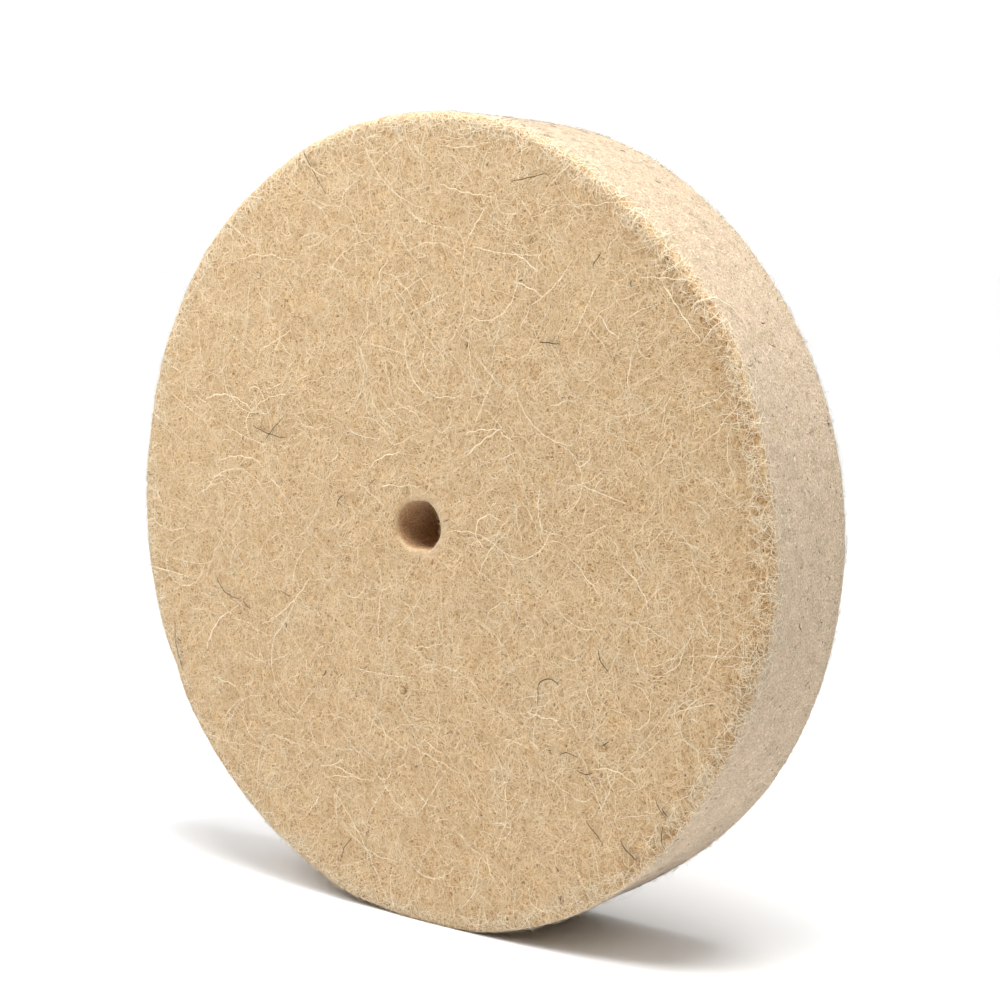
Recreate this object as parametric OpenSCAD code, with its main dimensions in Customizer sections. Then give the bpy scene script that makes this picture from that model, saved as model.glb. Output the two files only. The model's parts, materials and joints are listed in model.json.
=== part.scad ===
// Felt polishing wheel: one solid disc of pressed wool felt with a plain arbor hole.
// The wheel spins about Y. Its centre is the origin, and +Z is up when it stands on its rim.

/* [Disc] */
// Outside diameter of the wheel
wheel_d = 150; // [100:1:200]
// Width of the wheel along its axis
wheel_w = 25; // [15:0.5:50]
// Radius of the worn round where the rim meets each face
edge_r = 1.5; // [0.5:0.1:3]

/* [Arbor hole] */
// Diameter of the hole that the arbor passes through
bore_d = 10; // [6:0.5:20]
// Radius of the soft round at each mouth of the hole
mouth_r = 0.8; // [0.3:0.1:1.5]

/* [Smoothness] */
// Facets round each circle
facets = 128; // [48:16:256]

/* [Hidden] */
$fn = facets;
wheel_r = wheel_d / 2;
bore_r = bore_d / 2;
half_w = wheel_w / 2;

// Names of the parts, and the one to draw

// A band of the ring's cross-section between two radii, centred across the width.
module band(inner_r, outer_r, width) {
  translate([inner_r, -width / 2]) square([outer_r - inner_r, width]);
}

// The two quarter rounds of one rim of the cross-section, drawn as whole circles inside the felt.
module corner_rounds(centre_r, round_r) {
  for (side = [-1, 1])
    translate([centre_r, side * (half_w - round_r)]) circle(r = round_r);
}

// Cross-section of the ring: radius across, width up the page.
module cross_section() {
  band(bore_r, wheel_r, wheel_w - 2 * max(mouth_r, edge_r));
  band(bore_r, wheel_r - edge_r, wheel_w - 2 * mouth_r);
  band(bore_r + mouth_r, wheel_r - edge_r, wheel_w);
  corner_rounds(bore_r + mouth_r, mouth_r);
  corner_rounds(wheel_r - edge_r, edge_r);
}

// The disc: batts of wool felted into one block, cut round, and bored through for the arbor.
module felt_disc() {
  color("burlywood")
    rotate([90, 0, 0])
      rotate_extrude() cross_section();
}

felt_disc();
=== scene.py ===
"""The looks of the felt polishing wheel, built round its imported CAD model.

The CAD disc is replaced by a lumpy felt body and by the hairs that lie matted on it. Every hair is
a closed three-sided tube. Lengths are in metres; MM turns a figure in millimetres into metres.
"""

import json
import math

import bpy
import numpy as np
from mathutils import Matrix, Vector


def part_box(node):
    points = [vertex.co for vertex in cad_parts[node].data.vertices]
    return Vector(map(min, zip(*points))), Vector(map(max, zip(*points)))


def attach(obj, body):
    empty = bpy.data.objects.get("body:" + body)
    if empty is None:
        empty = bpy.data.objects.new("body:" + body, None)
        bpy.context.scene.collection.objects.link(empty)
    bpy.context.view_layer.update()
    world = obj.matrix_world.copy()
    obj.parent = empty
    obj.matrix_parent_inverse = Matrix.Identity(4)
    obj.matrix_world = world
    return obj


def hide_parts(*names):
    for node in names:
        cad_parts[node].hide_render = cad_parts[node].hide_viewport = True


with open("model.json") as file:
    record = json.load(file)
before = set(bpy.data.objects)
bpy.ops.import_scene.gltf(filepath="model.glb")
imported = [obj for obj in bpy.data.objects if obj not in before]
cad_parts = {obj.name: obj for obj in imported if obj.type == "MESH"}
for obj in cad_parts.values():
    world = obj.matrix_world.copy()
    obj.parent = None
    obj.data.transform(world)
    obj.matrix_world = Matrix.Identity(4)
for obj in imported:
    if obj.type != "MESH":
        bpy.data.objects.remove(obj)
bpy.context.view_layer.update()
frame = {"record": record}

MM = 0.001

# Driving dimensions, from the frame.
disc_low, disc_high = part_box("felt_disc")
RIM_R = (disc_high.x - disc_low.x) / 2
HALF_W = (disc_high.y - disc_low.y) / 2
bore_mount = next(m for m in frame["record"]["mounts"] if m["name"] == "arbor_bore")
BORE_R = bore_mount["dims"]["r_mm"] * MM
MOUTH_R = HALF_W - bore_mount["dims"]["length_mm"] * MM / 2

# The round of the outer edges, a little softer than the CAD disc's.
EDGE_R = 1.8 * MM

# The pressed felt round the hole, nearly bare of hair: its radius, and how far off centre it lies.
LIP_R = 6.2 * MM
LIP_X, LIP_Z = 0.5 * MM, -0.4 * MM

# Stations along half the profile, from the middle of the bore wall, out over one face, to the
# middle of the rim. On the face, the station is the radius.
QUARTER = math.pi / 2
TURN = 2 * math.pi
FACE_IN = BORE_R + MOUTH_R
FACE_OUT = RIM_R - EDGE_R
MOUTH_END = FACE_IN - MOUTH_R * QUARTER
BORE_MID = MOUTH_END - (HALF_W - MOUTH_R)
RIM_START = FACE_OUT + EDGE_R * QUARTER
RIM_MID = RIM_START + HALF_W - EDGE_R

FRONT, BACK = -1, 1

# Swells and hollows of the front edge, as (angle in degrees, height in mm, half width in degrees).
EDGE_SWELLS = (
    (-5, 0.8, 8),
    (27, 0.6, 8),
    (52, -0.8, 12),
    (76, 0.3, 6),
    (110, 0.35, 8),
    (136, 0.5, 12),
    (170, -0.4, 6),
    (200, 0.95, 85),
    (214, 0.7, 18),
    (254, 0.5, 7),
    (280, 0.45, 10),
    (-153, -0.5, 3),
    (-64, 0.35, 9),
    (-33, -0.65, 11),
)

# The same for the back edge.
BACK_SWELLS = (
    (88, -0.6, 14),
    (48, -0.2, 14),
    (-52, -0.4, 10),
)

# The same for the front mouth of the hole, which is pressed in on its right.
MOUTH_SWELLS = (
    (180, 0.45, 30),
    (80, -0.2, 30),
    (-100, -0.9, 32),
    (5, -0.85, 50),
    (-45, -0.35, 18),
    (45, -0.35, 25),
    (105, -0.4, 30),
    (-150, 0.95, 50),
    (145, 0.5, 32),
)

# The felt's lumps, coarsest first: size in mm, height in mm on the faces, and how much more height
# they have on the rim and the wall of the hole.
LUMPS = (
    (11, 0.10, -0.03),
    (3.1, 0.02, 0.01),
    (1.3, 0.005, 0.035),
)

# The coats of matted hair on each face, lowest first: name, pieces, hairs in a piece, points along
# a hair, and in mm the usual length, the thinnest and thickest radius and the highest arch.
COATS = (
    ("undercoat", 5, 4200, 8, 4.4, (0.028, 0.046), 0.06),
    ("topcoat", 5, 4200, 8, 4.6, (0.024, 0.044), 0.15),
)

# Stray hairs that show on the front face: x and z of the start in mm, heading and total turn in
# degrees, and length in mm. First the dark ones, then the thick pale ones.
DARK_HAIRS = (
    (-29, 69, -54, 0, 10),
    (-43.5, 16.5, -20, 14, 9.2),
    (-40, 13.5, 44, -2, 6.6),
    (27.5, -30.2, 84, 8, 4.3),
    (27.6, -26.4, 65, -105, 5),
    (53, -42.5, -60, 14, 4.2),
    (54.5, -44, -52, 0, 2),
    (54.7, -47, -98, 4, 4.5),
    (45.5, -51, -48, 15, 4.5),
    (-65.4, -24.5, -92, 28, 10),
    (-54, -14.3, -65, 64, 7.5),
    (-46.7, -18, -46, 0, 2.8),
    (-36.4, -15.5, -17, 0, 3),
    (40.6, -18.2, -70, 22, 4),
    (32.2, -38.2, 36, -70, 4.4),
    (36, -40, -40, 72, 3.5),
    (41.7, -34.4, -41, 0, 1.2),
    (42, -35, 35, 0, 1.2),
    (-5, -31, 60, -300, 4),
    (-17.5, -61.5, -140, 32, 5),
    (-11, 8, -135, 0, 2.2),
    (-19, 4.5, -145, 45, 3),
    (38, -49, -30, -20, 5),
    (21, 62, 8, 4, 8),
    (39, 47.5, 40, 25, 3),
    (27.5, 34.5, -3, 0, 4.5),
    (17.5, 42.5, -49, 0, 1.5),
    (32.5, -63, -81, 0, 1.5),
)
PALE_HAIRS = (
    (53, 46, -54, 0, 12.5),
    (53, 46, 33, -4, 4.5),
    (48.5, 46, 3, -12, 10),
    (58.5, 40.5, 40, -80, 12.5),
    (47, -31, -12, 205, 14),
    (-13, 9.5, 46, -40, 8.5),
    (16, -3, 165, -205, 11.5),
    (10.5, 13, 42, -15, 10),
    (19, 18.5, 176, 24, 8.3),
    (19, 18.5, -28, -10, 3),
    (4, 62.5, -20, 16, 13),
    (21, 50, -12, -35, 7),
    (21.5, 45, -8, -25, 7),
    (-22.5, -48, -12, -4, 7.5),
    (-44.5, 17.5, 52, -52, 12),
    (-57, 20.5, 28, -70, 15),
    (-54, 8, 30, -50, 13),
    (-27.5, -11, -122, -36, 18),
    (-52, -22, -139, 31, 9),
    (-55.5, -35, -4, -14, 7),
    (24.5, -31, -13, 15, 7.5),
    (39, -40, 27, -68, 10.4),
    (38.5, -24.5, -90, 31, 4),
)


# ---------------------------------------------------------------- noise and shape


NOISE_CELLS = 64  # the noise repeats after this many cells


def smooth_step(t):
    t = np.clip(t, 0, 1)
    return t * t * (3 - 2 * t)


def noise(points, cell, seed):
    """Smooth noise from -1 to 1 at points of shape (..., 3), with one random value per cell."""
    table = np.random.default_rng(seed).uniform(-1, 1, (NOISE_CELLS,) * 3)
    scaled = points / cell
    low = np.floor(scaled).astype(np.int64)
    part = smooth_step(scaled - low)
    total = np.zeros(points.shape[:-1])
    for corner in np.ndindex(2, 2, 2):
        offset = np.array(corner)
        weight = np.where(offset, part, 1 - part).prod(-1)
        i, j, k = np.moveaxis((low + offset) % NOISE_CELLS, -1, 0)
        total += weight * table[i, j, k]
    return total


def swell_at(angle, swells):
    """Sum of the swells at an angle in radians, in metres."""
    height = np.zeros_like(angle)
    for centre, size, half_width in swells:
        away = (np.degrees(angle) - centre + 180) % 360 - 180
        height += size * MM * np.exp(-((away / half_width) ** 2))
    return height


def profile(station):
    """Radius, depth below the face, and outward normal (radial, axial) at a station."""
    turn_in = np.clip((FACE_IN - station) / MOUTH_R, 0, QUARTER)
    turn_out = np.clip((station - FACE_OUT) / EDGE_R, 0, QUARTER)
    wall = np.clip(MOUTH_END - station, 0, None)
    rim = np.clip(station - RIM_START, 0, None)
    radius = np.clip(station, FACE_IN, FACE_OUT)
    radius = radius - MOUTH_R * np.sin(turn_in) + EDGE_R * np.sin(turn_out)
    depth = MOUTH_R * (1 - np.cos(turn_in)) + EDGE_R * (1 - np.cos(turn_out)) + wall + rim
    radial = np.sin(turn_out) - np.sin(turn_in)
    axial = np.cos(turn_out) * np.cos(turn_in)
    return radius, depth, radial, axial


def place(station, angle, height, side):
    """Points that stand height off the felt's own lumpy surface, and the normals there."""
    radius, depth, radial, axial = profile(station)
    c, s = np.cos(angle), np.sin(angle)
    normal = np.stack([radial * c, side * axial, radial * s], -1)
    point = np.stack([radius * c, side * (HALF_W - depth), radius * s], -1)
    on_wall = np.abs(radial)
    lumps = np.zeros_like(on_wall)
    for seed, (size, on_face, more) in enumerate(LUMPS, 1):
        lumps += (on_face + more * on_wall) * noise(point, size * MM, seed)
    out = point + normal * (lumps * MM + height)[..., None]
    near_front = smooth_step(-point[..., 1] / HALF_W)
    near_back = smooth_step(point[..., 1] / HALF_W)
    near_rim = smooth_step((radius - 0.8 * RIM_R) / (0.2 * RIM_R))
    near_mouth = smooth_step((FACE_IN + 4 * MM - radius) / (4 * MM))
    swell = near_rim * near_front * swell_at(angle, EDGE_SWELLS)
    swell += near_rim * near_back * swell_at(angle, BACK_SWELLS)
    swell += near_mouth * near_front * swell_at(angle, MOUTH_SWELLS)
    out[..., 0] += swell * c
    out[..., 2] += swell * s
    return out, normal


# ---------------------------------------------------------------- mesh building


def add_mesh(name, points, quads, material, caps=None, shading=None):
    """A smooth mesh piece from quads, optional triangles and optional normals, riding on the wheel."""
    mesh = bpy.data.meshes.new(name)
    mesh.vertices.add(len(points))
    mesh.vertices.foreach_set("co", points.astype(np.float32).ravel())
    corners = quads.ravel()
    starts = np.arange(len(quads)) * 4
    if caps is not None:
        starts = np.concatenate([starts, len(corners) + np.arange(len(caps)) * 3])
        corners = np.concatenate([corners, caps.ravel()])
    mesh.loops.add(len(corners))
    mesh.loops.foreach_set("vertex_index", corners.astype(np.int32))
    mesh.polygons.add(len(starts))
    mesh.polygons.foreach_set("loop_start", starts.astype(np.int32))
    mesh.update(calc_edges=True)
    mesh.shade_smooth()
    if shading is not None:
        mesh.normals_split_custom_set_from_vertices(shading)
    mesh.materials.append(material)
    piece = bpy.data.objects.new(name, mesh)
    bpy.context.scene.collection.objects.link(piece)
    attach(piece, "root")
    return piece


def felt_body(material):
    """The felt itself: a closed ring of stations, turned round the axis."""
    wall = np.linspace(BORE_MID, MOUTH_END, 14)[:-1]
    mouth = np.linspace(MOUTH_END, FACE_IN, 4)[:-1]
    face = np.linspace(FACE_IN, FACE_OUT, 58)[:-1]
    edge = np.linspace(FACE_OUT, RIM_START, 6)[:-1]
    rim = np.linspace(RIM_START, RIM_MID, 22)
    half = np.concatenate([wall, mouth, face, edge, rim])
    stations = np.concatenate([half, half[-2:0:-1]])
    sides = np.concatenate([np.full(len(half), FRONT), np.full(len(half) - 2, BACK)])
    rings = len(stations)
    turns = 480
    angles = np.arange(turns) * TURN / turns
    station_grid, angle_grid = np.meshgrid(stations, angles, indexing="ij")
    side_grid = np.broadcast_to(sides[:, None], station_grid.shape)
    points, _ = place(station_grid, angle_grid, np.zeros_like(station_grid), side_grid)
    i, j = np.meshgrid(np.arange(rings), np.arange(turns), indexing="ij")
    ni, nj = (i + 1) % rings, (j + 1) % turns
    quads = np.stack([i * turns + j, ni * turns + j, ni * turns + nj, i * turns + nj], -1)
    body = add_mesh("felt_body", points.reshape(-1, 3), quads.reshape(-1, 4), material)
    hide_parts("felt_disc")


SIDES = 3
FLATNESS = 0.45  # thickness of a hair over its width: coarse wool dries a little ribbon-like
LOCK_STRANDS = 2  # hairs of a coat that lie side by side


def tubes(name, lines, normals, radii, material):
    """Closed three-sided hairs along lines of shape (hairs, points, 3)."""
    count, steps = lines.shape[:2]
    along = np.gradient(lines, axis=1)
    along /= np.linalg.norm(along, axis=-1, keepdims=True)
    across = np.cross(along, normals + 0.01)  # a touch off, so an upright hair still has a width
    across /= np.linalg.norm(across, axis=-1, keepdims=True)
    upward = np.cross(across, along)
    spin = (np.arange(SIDES)[:, None] + 0.25) * TURN / SIDES
    ring = np.cos(spin) * across[:, :, None] + FLATNESS * np.sin(spin) * upward[:, :, None]
    points = lines[:, :, None] + ring * radii[..., None, None]
    first = (np.arange(count) * steps * SIDES)[:, None, None]
    level = (np.arange(steps - 1) * SIDES)[None, :, None]
    here = np.arange(SIDES)
    after = (here + 1) % SIDES
    quads = np.stack([first + level + here, first + level + here + SIDES,
                      first + level + after + SIDES, first + level + after], -1)
    start = first[:, 0] + here
    end = first[:, 0] + (steps - 1) * SIDES + here[::-1]
    caps = np.concatenate([start, end])
    shading = np.broadcast_to(normals[:, :, None], points.shape).reshape(-1, 3)
    add_mesh(name, points.reshape(-1, 3), quads.reshape(-1, 4), material, caps, shading)


# ---------------------------------------------------------------- hairs


def wander(rng, length, steps, bend, crimp):
    """Flat wandering paths of shape (hairs, steps, 2), each centred on the origin.

    bend is the spread of the steady curvature in radians per mm. crimp is the swing of the waves
    in radians.
    """
    count = len(length)
    along = np.linspace(0, 1, steps) * length[:, None]
    heading = rng.uniform(0, TURN, (count, 1)) + rng.normal(0, bend, (count, 1)) * along / MM
    wave_length = rng.uniform(2, 5, (count, 1)) * MM
    wave = TURN * along / wave_length + rng.uniform(0, TURN, (count, 1))
    heading = heading + crimp * rng.uniform(0.3, 1.3, (count, 1)) * np.sin(wave)
    moves = np.stack([np.cos(heading), np.sin(heading)], -1) * (length / (steps - 1))[:, None, None]
    path = np.cumsum(moves, 1)
    return path - path.mean(1, keepdims=True)


def lengths(rng, count, usual, spread, least, most):
    """Random lengths about the usual one, which, like least and most, is in mm."""
    return np.clip(rng.lognormal(math.log(usual), spread, count), least, most) * MM


def scatter_on_face(rng, count, inner, outer):
    """Random points on a face between two radii, evenly by area."""
    radius = np.sqrt(rng.uniform(inner**2, outer**2, count))
    angle = rng.uniform(0, TURN, count)
    return np.stack([radius * np.cos(angle), radius * np.sin(angle)], -1)


def lift(rng, count, steps, arch, loose_share):
    """Heights along hairs, at most about arch mm.

    A hair dives in at both ends, or at one end only if it is one of the loose ones.
    """
    t = np.linspace(0, 1, steps)
    buried = np.sin(math.pi * t) ** 0.6
    loose = (rng.uniform(size=(count, 1)) < loose_share) * 1.0
    shape = (1 - loose) * buried + loose * 1.3 * t**1.5
    top = rng.beta(1.6, 2.2, (count, 1)) * arch * MM
    return shape * top + rng.normal(0, 0.006, (count, steps)) * MM


def taper(rng, count, steps, radii):
    """Radii along hairs, in metres, thinner towards both ends. radii is their range in mm."""
    t = np.linspace(0.02, 0.98, steps)
    return rng.uniform(*radii, (count, 1)) * MM * (0.45 + 0.55 * np.sin(math.pi * t) ** 0.5)


def fan_out(rng, path, strands, spread):
    """Each path split into a lock of strands that run side by side and cross here and there."""
    path = np.repeat(path, strands, axis=0)
    t = np.linspace(0, 1, path.shape[1])[:, None]
    start, end = rng.normal(0, spread, (2, len(path), 1, 2))
    return path + (1 - t) * start + t * end


def clear_of_lip(rng, path):
    """The paths that keep off the pressed felt round the hole."""
    away = np.hypot(path[..., 0] - LIP_X, path[..., 1] - LIP_Z)
    return path[away.min(1) > LIP_R + rng.uniform(-0.9, 0.3, len(path)) * MM]


def lay_on_face(path, height, side):
    """Flat paths laid on a face, where they wrap over the outer edge."""
    x, z = path[..., 0], path[..., 1]
    return place(np.hypot(x, z), np.arctan2(z, x), height, side)


def coat(name, side, seed, count, steps, length, radii, arch, material):
    """One piece of the dense mat of hair on a face."""
    rng = np.random.default_rng(seed)
    locks = count // LOCK_STRANDS
    size = lengths(rng, locks, usual=length, spread=0.35, least=1.5, most=8)
    path = wander(rng, size, steps, bend=0.55, crimp=0.6)
    path += scatter_on_face(rng, locks, FACE_IN, FACE_OUT + 0.6 * MM)[:, None]
    path = clear_of_lip(rng, fan_out(rng, path, LOCK_STRANDS, spread=0.6 * MM))
    height = lift(rng, len(path), steps, arch, loose_share=0.15)
    lines, normals = lay_on_face(path, height, side)
    tubes(name, lines, normals, taper(rng, len(path), steps, radii), material)


def guard_hairs(name, side, seed, count, material):
    """Long pale hairs that lie loose on top of the mat, some of them curled."""
    rng = np.random.default_rng(seed)
    steps = 22
    size = lengths(rng, count, usual=10, spread=0.45, least=4, most=26)
    straight = wander(rng, size, steps, bend=0.07, crimp=0.25)
    size = lengths(rng, count, usual=7, spread=0.3, least=4, most=12)
    curled = wander(rng, size, steps, bend=0.3, crimp=0.2)
    path = np.where(rng.uniform(size=(count, 1, 1)) < 0.75, straight, curled)
    path += scatter_on_face(rng, count, FACE_IN + 2 * MM, FACE_OUT)[:, None]
    path = clear_of_lip(rng, path)
    height = lift(rng, len(path), steps, arch=1.1, loose_share=0.25) + 0.12 * MM
    lines, normals = lay_on_face(path, height, side)
    tubes(name, lines, normals, taper(rng, len(path), steps, (0.028, 0.052)), material)


def edge_fuzz(name, side, seed, count, material):
    """Hairs on and over the outer edge of one face, some with a free end."""
    rng = np.random.default_rng(seed)
    steps = 7
    size = lengths(rng, count, usual=3.2, spread=0.4, least=1.2, most=9)
    path = wander(rng, size, steps, bend=0.25, crimp=0.3)
    path += scatter_on_face(rng, count, FACE_OUT - 1.5 * MM, RIM_START + 0.3 * MM)[:, None]
    height = lift(rng, count, steps, arch=0.7, loose_share=0.3)
    lines, normals = lay_on_face(path, height, side)
    tubes(name, lines, normals, taper(rng, count, steps, (0.022, 0.040)), material)


def stray_fuzz(name, side, seed, count, material):
    """Fine hairs that stand off the outer edge of one face, where they show against the light."""
    rng = np.random.default_rng(seed)
    steps = 9
    size = lengths(rng, count, usual=3.4, spread=0.4, least=1.5, most=8)
    path = wander(rng, size, steps, bend=0.3, crimp=0.3)
    path += scatter_on_face(rng, count, FACE_OUT - 1 * MM, RIM_START + 0.5 * MM)[:, None]
    height = lift(rng, count, steps, arch=1.6, loose_share=0.6)
    lines, normals = lay_on_face(path, height, side)
    tubes(name, lines, normals, taper(rng, count, steps, (0.018, 0.032)), material)


def rim_fuzz(name, seed, count, material):
    """Very short fine hairs on the rim."""
    rng = np.random.default_rng(seed)
    steps = 4
    size = lengths(rng, count, usual=1.3, spread=0.4, least=0.5, most=4)
    path = wander(rng, size, steps, bend=0.5, crimp=0.3)
    across = path[..., 0] + rng.uniform(-HALF_W + EDGE_R, HALF_W - EDGE_R, (count, 1))
    angle = path[..., 1] / RIM_R + rng.uniform(0, TURN, (count, 1))
    height = lift(rng, count, steps, arch=0.22, loose_share=0.15) + 0.02 * MM
    side = np.where(across < 0, FRONT, BACK)
    lines, normals = place(RIM_MID - np.abs(across), angle, height, side)
    tubes(name, lines, normals, taper(rng, count, steps, (0.022, 0.038)), material)


def lip_fuzz(name, side, seed, count, material):
    """Short hairs round one mouth of the hole, some of them poking across it."""
    rng = np.random.default_rng(seed)
    steps = 6
    size = lengths(rng, count, usual=1.1, spread=0.4, least=0.5, most=2.5)
    path = wander(rng, size, steps, bend=0.6, crimp=0.3)
    path += scatter_on_face(rng, count, MOUTH_END + 0.2 * MM, FACE_IN + 0.4 * MM)[:, None]
    height = lift(rng, count, steps, arch=0.7, loose_share=0.5)
    lines, normals = lay_on_face(path, height, side)
    tubes(name, lines, normals, taper(rng, count, steps, (0.018, 0.032)), material)


def specks(name, seed, count, material):
    """Dark scraps of coarse hair caught in both faces and the rim."""
    rng = np.random.default_rng(seed)
    steps = 4
    on_rim = rng.uniform(size=(count, 1)) < 0.5
    size = lengths(rng, count, usual=0.6, spread=0.5, least=0.25, most=2)
    path = wander(rng, size, steps, bend=0.5, crimp=0.2)
    spot = path + scatter_on_face(rng, count, FACE_IN, FACE_OUT)[:, None]
    across = path[..., 0] + rng.uniform(-HALF_W + EDGE_R, HALF_W - EDGE_R, (count, 1))
    turned = path[..., 1] / RIM_R + rng.uniform(0, TURN, (count, 1))
    station = np.where(on_rim, RIM_MID - np.abs(across), np.hypot(spot[..., 0], spot[..., 1]))
    angle = np.where(on_rim, turned, np.arctan2(spot[..., 1], spot[..., 0]))
    face_side = np.where(rng.uniform(size=(count, 1)) < 0.5, FRONT, BACK)
    side = np.where(on_rim, np.where(across < 0, FRONT, BACK), face_side)
    height = np.where(on_rim, 0.03, rng.uniform(0.02, 0.25, (count, 1))) * MM
    lines, normals = place(station, angle, np.broadcast_to(height, station.shape), side)
    tubes(name, lines, normals, taper(rng, count, steps, (0.06, 0.12)), material)


def placed_hairs(name, hairs, seed, crimp, radii, material):
    """Stray hairs at known places on the front face, from a table such as DARK_HAIRS."""
    rng = np.random.default_rng(seed)
    steps = 24
    t = np.linspace(0, 1, steps)
    paths = []
    for x, z, heading, turn, length in hairs:
        wave = crimp * np.sin(TURN * (t * length / 3 + rng.uniform()))
        way = np.radians(heading + turn * t) + wave
        moves = np.stack([np.cos(way), np.sin(way)], -1) * length * MM / (steps - 1)
        paths.append(np.cumsum(moves, 0) + np.array([x, z]) * MM)
    path = np.array(paths)
    height = np.broadcast_to((0.25 + 0.4 * np.sin(math.pi * t) ** 0.5) * MM, path.shape[:2])
    lines, normals = lay_on_face(path, height, FRONT)
    tubes(name, lines, normals, taper(rng, len(path), steps, radii), material)


# ---------------------------------------------------------------- materials


class Nodes:
    """A material's node tree, with short names for what this script uses."""

    def __init__(self, name):
        self.material = bpy.data.materials.new(name)
        self.material.use_nodes = True
        self.tree = self.material.node_tree
        self.shader = self.tree.nodes["Principled BSDF"]
        self.shader.inputs["Roughness"].default_value = 0.9
        self.shader.inputs["Specular IOR Level"].default_value = 0.15
        self.position = self.add("ShaderNodeTexCoord").outputs["Object"]

    def add(self, kind, **values):
        node = self.tree.nodes.new(kind)
        for key, value in values.items():
            setattr(node, key, value)
        return node

    def feed(self, socket, value):
        """Link a socket, or set its value."""
        if isinstance(value, bpy.types.NodeSocket):
            self.tree.links.new(value, socket)
        elif isinstance(value, tuple) and len(value) == 3 and socket.type == "RGBA":
            socket.default_value = (*value, 1)
        else:
            socket.default_value = value

    def noise(self, size, detail=3.0, roughness=0.55, offset=0.0):
        """Noise from 0 to 1 with features about size metres across."""
        shifted = self.add("ShaderNodeVectorMath", operation="ADD")
        self.feed(shifted.inputs[0], self.position)
        self.feed(shifted.inputs[1], (offset, offset, offset))
        node = self.add("ShaderNodeTexNoise")
        self.feed(node.inputs["Scale"], 1 / size)
        self.feed(node.inputs["Detail"], detail)
        self.feed(node.inputs["Roughness"], roughness)
        self.feed(node.inputs["Vector"], shifted.outputs["Vector"])
        return node.outputs["Fac"]

    def math(self, operation, first, second=0.0):
        node = self.add("ShaderNodeMath", operation=operation)
        self.feed(node.inputs[0], first)
        self.feed(node.inputs[1], second)
        return node.outputs["Value"]

    def between(self, value, low, high):
        """0 up to low, 1 from high on, and smooth between them. low may be above high."""
        node = self.add("ShaderNodeMapRange", interpolation_type="SMOOTHSTEP")
        self.feed(node.inputs["Value"], value)
        self.feed(node.inputs["From Min"], low)
        self.feed(node.inputs["From Max"], high)
        return node.outputs["Result"]

    def ramp(self, source, *stops):
        """A colour ramp: stops of (position, colour)."""
        node = self.add("ShaderNodeValToRGB")
        ramp = node.color_ramp
        while len(ramp.elements) < len(stops):
            ramp.elements.new(1.0)
        for element, (at, colour) in zip(ramp.elements, stops):
            element.position = at
            element.color = (*colour, 1)
        self.feed(node.inputs["Fac"], source)
        return node.outputs["Color"]

    def mix(self, share, first, second, mode="MIX"):
        node = self.add("ShaderNodeMix", data_type="RGBA", blend_type=mode)
        sockets = [node.inputs[0]] + [s for s in node.inputs if s.type == "RGBA"]
        for socket, value in zip(sockets, (share, first, second)):
            self.feed(socket, value)
        return next(s for s in node.outputs if s.type == "RGBA")

    def apart(self, vector):
        """The x, y and z of a vector."""
        node = self.add("ShaderNodeSeparateXYZ")
        self.feed(node.inputs[0], vector)
        return tuple(node.outputs)

    def radius(self):
        """Distance from the wheel's axis."""
        flat = self.add("ShaderNodeVectorMath", operation="MULTIPLY")
        self.feed(flat.inputs[0], self.position)
        self.feed(flat.inputs[1], (1.0, 0.0, 1.0))
        length = self.add("ShaderNodeVectorMath", operation="LENGTH")
        self.feed(length.inputs[0], flat.outputs["Vector"])
        return length.outputs["Value"]

    def strands(self, size, width, offset):
        """Thin curved lines like hairs lying about: the level curves of a noise."""
        level = self.math("SUBTRACT", self.noise(size, 2, 0.5, offset), 0.5)
        return self.between(self.math("ABSOLUTE", level), width, 0.0)

    def bump(self, height, strength, distance):
        node = self.add("ShaderNodeBump")
        self.feed(node.inputs["Strength"], strength)
        self.feed(node.inputs["Distance"], distance)
        self.feed(node.inputs["Height"], height)
        self.feed(self.shader.inputs["Normal"], node.outputs["Normal"])


def patches(nodes, colour):
    """colour, varied in the soft patches that run through the whole block of felt."""
    wide = nodes.ramp(nodes.noise(6 * MM), (0.3, (0.96, 0.955, 0.95)), (0.7, (1.03, 1.03, 1.03)))
    return nodes.mix(1.0, colour, wide, "MULTIPLY")


def paint_edge_shade(nodes, colour):
    """colour, browner in tufts along the right edge of the faces: painted shade under the fringe of
    hair that hangs over the edge there.
    """
    across, _, _ = nodes.apart(nodes.position)
    tufts = nodes.between(nodes.noise(2.2 * MM, 3, 0.6, 0.9), 0.44, 0.60)
    edge = nodes.between(nodes.radius(), RIM_R - 9 * MM, RIM_R)
    right = nodes.between(across, 0.35 * RIM_R, 0.8 * RIM_R)
    share = nodes.math("MULTIPLY", tufts, nodes.math("MULTIPLY", edge, right))
    return nodes.mix(share, colour, nodes.mix(1.0, colour, (0.76, 0.65, 0.52), "MULTIPLY"))


def rim_colour(nodes, grain):
    """The cut rim: a fine grain with pinkish and ochre blotches, and pale and dark flecks."""
    colour = nodes.ramp(grain, (0.36, (0.28, 0.19, 0.12)), (0.46, (0.50, 0.385, 0.265)),
                        (0.66, (0.63, 0.51, 0.37)))
    blotch = nodes.ramp(nodes.noise(2.5 * MM, 4, 0.6, 0.3), (0.35, (0.91, 0.90, 0.83)),
                        (0.5, (1.0, 1.0, 1.0)), (0.65, (1.06, 1.02, 1.01)))
    colour = nodes.mix(1.0, colour, blotch, "MULTIPLY")
    pale = nodes.between(nodes.noise(0.5 * MM, 2, 0.5, 0.5), 0.60, 0.68)
    colour = nodes.mix(nodes.math("MULTIPLY", pale, 0.6), colour, (0.80, 0.71, 0.58))
    dark = nodes.between(nodes.noise(0.65 * MM, 2, 0.5, 0.7), 0.325, 0.275)
    return nodes.mix(nodes.math("MULTIPLY", dark, 0.85), colour, (0.18, 0.11, 0.07))


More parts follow.
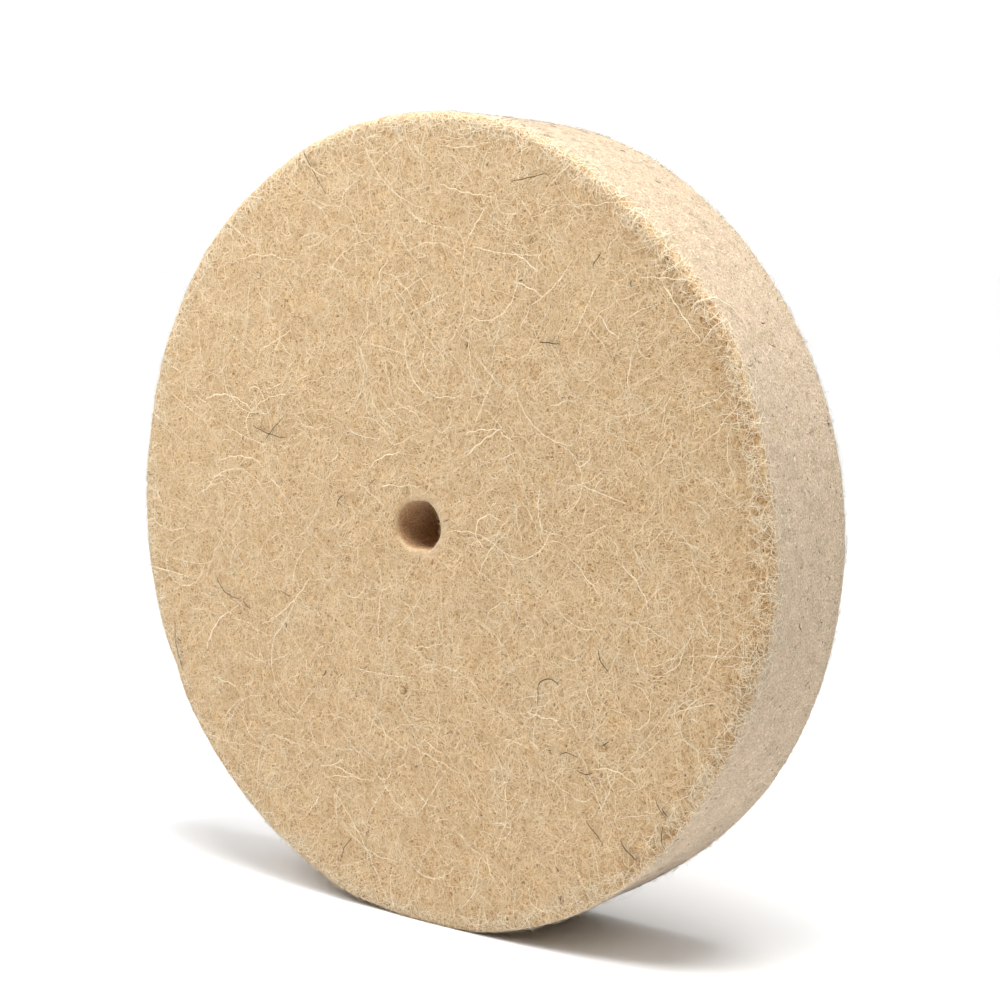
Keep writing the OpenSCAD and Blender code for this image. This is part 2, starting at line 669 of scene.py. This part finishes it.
def felt_material():
    """Matted faces, a finer greyer rim and a bore in a darker brown, the painted shade of the deep
    hole, told apart by place on the wheel.
    """
    nodes = Nodes("felt")
    depth = nodes.math("ABSOLUTE", nodes.apart(nodes.position)[1])
    radius = nodes.radius()

    # The base colour runs dark in small pits between the hairs: partly the felt's own darker fibres,
    # partly painted shade of the gaps under the hair.
    fine = nodes.noise(0.42 * MM, 3, 0.6)
    face = nodes.ramp(fine, (0.39, (0.15, 0.075, 0.025)), (0.5, (0.40, 0.25, 0.11)),
                      (0.7, (0.48, 0.315, 0.155)))
    for number, size in enumerate((0.8, 1.0, 1.3, 1.7, 2.1, 2.6)):
        line = nodes.strands(size * MM, 0.030 / size**0.5, 0.05 * number)
        face = nodes.mix(nodes.math("MULTIPLY", line, 0.7), face, (0.70, 0.51, 0.30))
    # Painted shade: browner tufts along the right edge of the faces, under the hanging fringe.
    face = paint_edge_shade(nodes, face)
    grain = nodes.noise(0.33 * MM, 4, 0.7)
    lip = nodes.ramp(grain, (0.34, (0.40, 0.28, 0.155)), (0.66, (0.66, 0.50, 0.32)))
    # The bore's darker brown is painted shade of the deep hole.
    bore = nodes.ramp(grain, (0.36, (0.29, 0.155, 0.075)), (0.64, (0.60, 0.385, 0.21)))

    ragged = nodes.math("MULTIPLY", nodes.noise(1.6 * MM), 1.6 * MM)
    off_face = nodes.between(nodes.math("ADD", depth, ragged), HALF_W + 0.5 * MM, HALF_W - 0.9 * MM)
    outside = nodes.between(radius, 0.5 * RIM_R, 0.6 * RIM_R)
    on_rim = nodes.math("MULTIPLY", off_face, outside)
    near_lip = nodes.math("ADD", radius, ragged)
    on_lip = nodes.between(near_lip, LIP_R + 1.6 * MM, LIP_R + 0.4 * MM)
    inside = nodes.between(radius, 2.4 * BORE_R, 2 * BORE_R)
    below = nodes.between(depth, HALF_W - 0.2 * MM, HALF_W - 1.2 * MM)
    in_bore = nodes.math("MULTIPLY", inside, below)
    colour = nodes.mix(on_lip, face, lip)
    colour = nodes.mix(on_rim, colour, rim_colour(nodes, grain))
    colour = nodes.mix(in_bore, colour, bore)
    nodes.feed(nodes.shader.inputs["Base Color"], patches(nodes, colour))
    nodes.feed(nodes.shader.inputs["Sheen Weight"], 0.15)
    nodes.feed(nodes.shader.inputs["Sheen Roughness"], 0.5)
    nodes.bump(nodes.math("ADD", fine, grain), 0.3, 0.12 * MM)
    return nodes.material


def hair_material(name, *shades, gloss=0.3, painted_edge_shade=False):
    """Hair that differs in shade from strand to strand."""
    nodes = Nodes(name)
    strand = nodes.add("ShaderNodeNewGeometry").outputs["Random Per Island"]
    colour = nodes.ramp(strand, *shades)
    # Painted shade: browner tufts along the right edge of the faces, under the hanging fringe.
    if painted_edge_shade:
        colour = paint_edge_shade(nodes, colour)
    nodes.feed(nodes.shader.inputs["Base Color"], patches(nodes, colour))
    nodes.feed(nodes.shader.inputs["Roughness"], 0.6)
    nodes.feed(nodes.shader.inputs["Specular IOR Level"], gloss)
    return nodes.material


# ---------------------------------------------------------------- stage


FLOOR_WIDTH = 20  # metres
FLOOR_SHADE = 0.90
BACKGROUND_WHITE = 1.1

# Light from far off: name, the direction it comes from, its spread in degrees, and its strength.
SUNS = (
    ("overhead", (0.30, 0.01, 1), 15, 0.85),
    ("overhead_front", (0.28, -0.14, 1), 20, 0.75),
    ("window", (0.1, -0.5, 1), 60, 0.43),
    ("softbox", (0.35, 0, 1), 90, 0.80),
    ("side", (0.65, 0.12, 1), 60, 0.75),
    ("fill_left", (-1, -0.1, 0.8), 60, 0.55),
)

# Lamps near the wheel: name, place and width in metres, and power in watts.
LAMPS = (
    ("near_top", (0.06, -0.11, 0.35), 0.2, 1.20),
    ("near_left", (-0.20, -0.14, 0.18), 0.15, 0.48),
)

# The camera: its place, how far it looks down and how far it is turned to the left in radians, and
# its lens and sensor in mm.
CAMERA_AT = (0.2565, -0.3073, 0.0500)
LOOK_DOWN = 0.1153
TURN_LEFT = 0.6791
LENS = 77.1
SENSOR = 36


def make_floor():
    bpy.ops.mesh.primitive_plane_add(size=FLOOR_WIDTH, location=(0, 0, disc_low.z))
    floor = bpy.context.object
    floor.name = "floor"
    material = bpy.data.materials.new("floor_white")
    material.use_nodes = True
    shader = material.node_tree.nodes["Principled BSDF"]
    shader.inputs["Base Color"].default_value = (FLOOR_SHADE, FLOOR_SHADE, FLOOR_SHADE, 1)
    shader.inputs["Roughness"].default_value = 0.9
    shader.inputs["Specular IOR Level"].default_value = 0.1
    floor.data.materials.append(material)


def make_world():
    """A background that the camera sees as white and that gives no light."""
    world = bpy.data.worlds.new("studio")
    bpy.context.scene.world = world
    world.use_nodes = True
    nodes, links = world.node_tree.nodes, world.node_tree.links
    dark = nodes["Background"]
    dark.inputs["Strength"].default_value = 0.0
    white = nodes.new("ShaderNodeBackground")
    white.inputs["Color"].default_value = (1, 1, 1, 1)
    white.inputs["Strength"].default_value = BACKGROUND_WHITE
    path = nodes.new("ShaderNodeLightPath")
    choose = nodes.new("ShaderNodeMixShader")
    links.new(path.outputs["Is Camera Ray"], choose.inputs[0])
    links.new(dark.outputs[0], choose.inputs[1])
    links.new(white.outputs[0], choose.inputs[2])
    links.new(choose.outputs[0], nodes["World Output"].inputs["Surface"])


def make_sun(name, towards, width, strength):
    """Soft light from far off in the direction towards, spread over width degrees of the sky."""
    data = bpy.data.lights.new(name, "SUN")
    data.angle = math.radians(width)
    data.energy = strength
    lamp = bpy.data.objects.new(name, data)
    bpy.context.scene.collection.objects.link(lamp)
    lamp.rotation_euler = (-Vector(towards)).to_track_quat("-Z", "Y").to_euler()


def make_lamp(name, location, width, watts):
    """A soft round lamp near the wheel, aimed at its centre and out of sight of the camera."""
    data = bpy.data.lights.new(name, "AREA")
    data.shape = "DISK"
    data.size = width
    data.energy = watts
    lamp = bpy.data.objects.new(name, data)
    bpy.context.scene.collection.objects.link(lamp)
    lamp.location = location
    lamp.rotation_euler = (-Vector(location)).to_track_quat("-Z", "Y").to_euler()
    lamp.visible_camera = False


def make_camera():
    data = bpy.data.cameras.new("camera")
    camera = bpy.data.objects.new("camera", data)
    bpy.context.scene.collection.objects.link(camera)
    camera.location = CAMERA_AT
    camera.rotation_euler = (QUARTER - LOOK_DOWN, 0, TURN_LEFT)
    data.sensor_width = SENSOR
    data.lens = LENS
    data.clip_start = 10 * MM
    bpy.context.scene.camera = camera


make_camera()
make_world()
make_floor()
for sun in SUNS:
    make_sun(*sun)
for lamp in LAMPS:
    make_lamp(*lamp)
bpy.context.scene.view_settings.view_transform = "Standard"

felt_body(felt_material())

# Both coats take the painted shade along the right edge of the faces.
# The undercoat's shades are darker than the topcoat's: partly the hairs' own spread of colour, partly
# painted shade deep in the mat.
under_hair = hair_material("under_hair", (0.0, (0.44, 0.275, 0.125)), (0.5, (0.62, 0.43, 0.24)),
                           (1.0, (0.76, 0.575, 0.355)), painted_edge_shade=True)
top_hair = hair_material("top_hair", (0.0, (0.64, 0.445, 0.25)), (0.5, (0.80, 0.62, 0.39)),
                         (1.0, (0.92, 0.77, 0.54)), painted_edge_shade=True)
guard_hair = hair_material("guard_hair", (0.0, (0.84, 0.69, 0.47)), (1.0, (0.95, 0.85, 0.66)))
rim_hair = hair_material("rim_hair", (0.0, (0.46, 0.345, 0.23)), (0.6, (0.58, 0.465, 0.34)),
                         (1.0, (0.76, 0.67, 0.54)))
dark_hair = hair_material("dark_hair", (0.0, (0.015, 0.01, 0.006)), (0.6, (0.04, 0.024, 0.014)),
                          (1.0, (0.13, 0.065, 0.03)), gloss=0.05)
speck_hair = hair_material("speck_hair", (0.0, (0.04, 0.03, 0.02)), (0.4, (0.13, 0.085, 0.05)),
                           (0.8, (0.20, 0.17, 0.14)), (1.0, (0.26, 0.12, 0.06)), gloss=0.05)
coat_materials = {"undercoat": under_hair, "topcoat": top_hair}

for side, side_name in ((FRONT, "front"), (BACK, "back")):
    seed = 100 + 50 * side
    for coat_name, pieces, count, steps, length, radii, arch in COATS:
        for number in range(pieces):
            seed += 1
            name = f"{coat_name}_{side_name}_{number}"
            coat(name, side, seed, count, steps, length, radii, arch, coat_materials[coat_name])
    guard_hairs(f"guard_hairs_{side_name}", side, seed + 1, count=460, material=guard_hair)
    # The edge and stray fuzz take the pale guard hair colour: partly these hairs' own pale colour,
    # partly painted light for their glow where light shines through them at the edge.
    edge_fuzz(f"edge_fuzz_{side_name}", side, seed + 2, count=3200, material=guard_hair)
    lip_fuzz(f"lip_fuzz_{side_name}", side, seed + 3, count=150, material=under_hair)
    stray_fuzz(f"stray_fuzz_{side_name}", side, seed + 4, count=420, material=guard_hair)
rim_fuzz("rim_fuzz", seed=7, count=9000, material=rim_hair)
specks("specks", seed=8, count=640, material=speck_hair)
placed_hairs("dark_hairs", DARK_HAIRS, 77, crimp=0.12, radii=(0.075, 0.105), material=dark_hair)
placed_hairs("pale_hairs", PALE_HAIRS, 78, crimp=0.25, radii=(0.055, 0.080), material=guard_hair)
